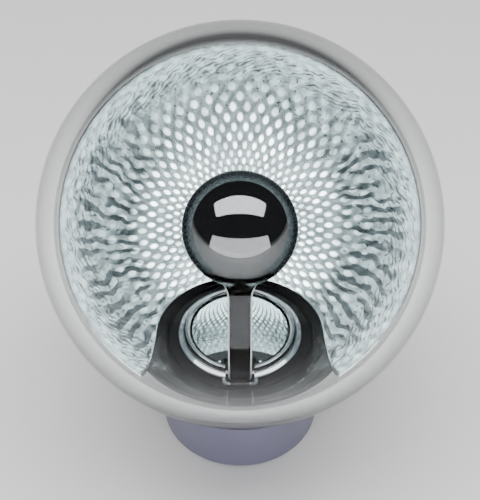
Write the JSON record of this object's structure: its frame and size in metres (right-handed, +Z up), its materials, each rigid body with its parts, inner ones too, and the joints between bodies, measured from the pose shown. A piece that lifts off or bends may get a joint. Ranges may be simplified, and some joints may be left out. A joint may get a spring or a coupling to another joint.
{
  "type": "radiometer",
  "caption": "Clear globe half lined with a faceted reflector round a polished ball on a hinged stem, over a domed sensor window, on a swivelling round pedestal.",
  "frame": {"origin": "middle of the surface that the pedestal stands on", "axes": "+Z up along the pedestal; -Y is the open side of the reflector and the side of the stem's foot"},
  "size_m": [0.15, 0.15, 0.182],
  "materials": {
    "shell_lilac": "satin",
    "cup_black": "gloss",
    "polished_steel": "polished",
    "clear_glass": "clear polished",
    "window_glass": "clear polished",
    "mirror_cells": "faceted silver",
    "soft_seal": "matt",
    "plate_metal": "brushed",
    "steel": "brushed",
    "ballast_iron": "cast",
    "bronze": "turned",
    "board_green": "satin",
    "chip_black": "matt",
    "battery_wrap": "satin",
    "button_grey": "satin",
    "lamp_white": "satin"
  },
  "bodies": {
    "pedestal": {"pedestal_shell": "shell_lilac", "base_plate": "plate_metal", "foot_ring": "soft_seal", "base_screws": "steel", "ballast_weight": "ballast_iron", "ballast_bolt": "steel", "battery_pack": "battery_wrap", "board_standoffs": "bronze", "control_board": "board_green", "board_screws": "steel", "board_components": "chip_black", "power_socket": "chip_black", "tact_switch": "chip_black", "swivel_bush": "bronze", "swivel_washer": "lamp_white"},
    "head": {"swivel_spigot": "plate_metal", "retaining_ring": "steel", "cradle_cup": "cup_black", "spigot_screws": "steel", "deck_screws": "steel", "globe_gasket": "soft_seal", "deck_housing": "cup_black", "bezel_ring": "polished_steel", "hinge_pin": "steel", "lens_seal": "soft_seal", "window_lens": "window_glass", "detector_board": "board_green", "detector_can": "steel", "reference_lamps": "lamp_white"},
    "globe": {"glass_globe": "clear_glass", "reflector_lining": "mirror_cells"},
    "lever": {"ball_lever": "polished_steel", "heat_spreader": "plate_metal", "lamp_board": "board_green", "lamp_emitter": "lamp_white", "lamp_lens": "window_glass", "lens_retainer": "polished_steel"},
    "button": {"power_button": "button_grey"}
  },
  "joints": [
    {"name": "head_swivel", "type": "hinge", "parent": "pedestal", "child": "head", "pos_m": [0, 0, 0.034], "axis": [0, 0, 1], "range_deg": [-170, 170]},
    {"name": "globe_lift", "type": "slide", "parent": "head", "child": "globe", "axis": [0, 0, 1], "range_m": [0, 0.12]},
    {"name": "ball_tilt", "type": "hinge", "parent": "head", "child": "lever", "pos_m": [0, -0.0216, 0.046], "axis": [1, 0, 0], "range_deg": [-18, 15]},
    {"name": "button_press", "type": "slide", "parent": "pedestal", "child": "button", "axis": [0, -1, 0], "range_m": [0, 0.0008], "stiffness_N_per_m": 400, "springref_m": -0.0005}
  ]
}
